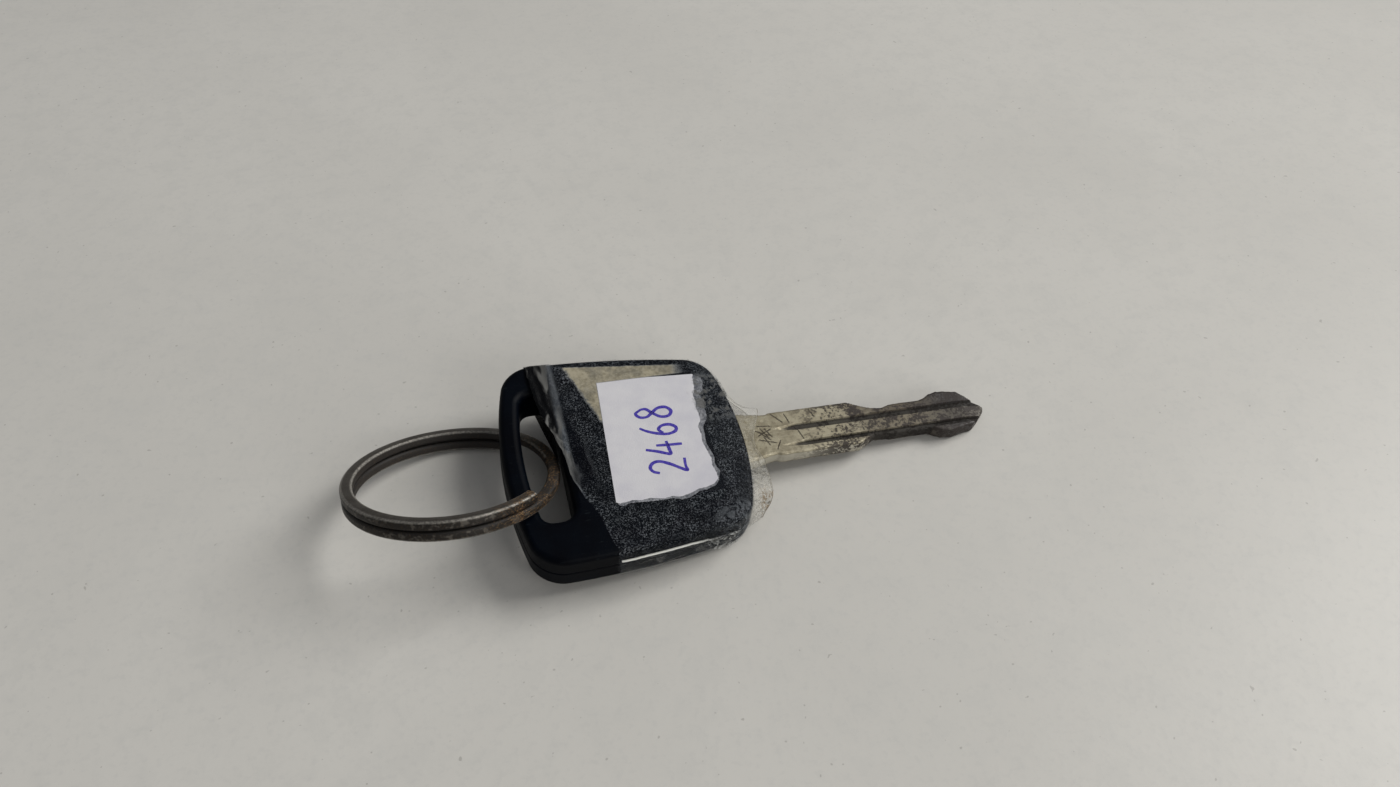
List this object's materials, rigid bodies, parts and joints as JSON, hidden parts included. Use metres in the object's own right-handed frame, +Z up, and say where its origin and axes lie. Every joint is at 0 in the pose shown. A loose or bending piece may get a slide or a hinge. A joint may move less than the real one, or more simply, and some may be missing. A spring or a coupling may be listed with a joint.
{
  "type": "car key",
  "caption": "Worn car key with a taped plastic head, paper label, twin-groove blade and split ring, lying flat on a table.",
  "frame": {"origin": "on the table, at the middle of the key's footprint as it lies", "axes": "+X along the key from the ring towards the blade's tip, +Z up from the table"},
  "size_m": [0.1028, 0.0382, 0.0157],
  "materials": {
    "head_plastic": "black moulded plastic, worn smooth at the rims",
    "blade_metal": "worn nickel silver with dark dirt in the grooves",
    "chip_ceramic": "dark moulded block",
    "ring_steel": "dull nickel-plated steel with rust spots",
    "label_paper": "white paper, torn edges",
    "clear_tape": "clear adhesive tape, creased and dusty"
  },
  "bodies": {
    "key": {"head_lower_shell": "head_plastic", "head_upper_shell": "head_plastic", "key_blade": "blade_metal", "transponder_chip": "chip_ceramic", "paper_label": "label_paper", "tape_wrap": "clear_tape", "tape_side_strip": "clear_tape", "tape_neck_collar": "clear_tape"},
    "ring": {"split_ring": "ring_steel"}
  },
  "joints": [
    {"name": "ring_swing", "type": "hinge", "parent": "key", "child": "ring", "pos_m": [-0.02615, -0.00007, 0.00712], "axis": [0.0062, 0.9967, 0.081], "range_deg": [-50, 50]}
  ]
}
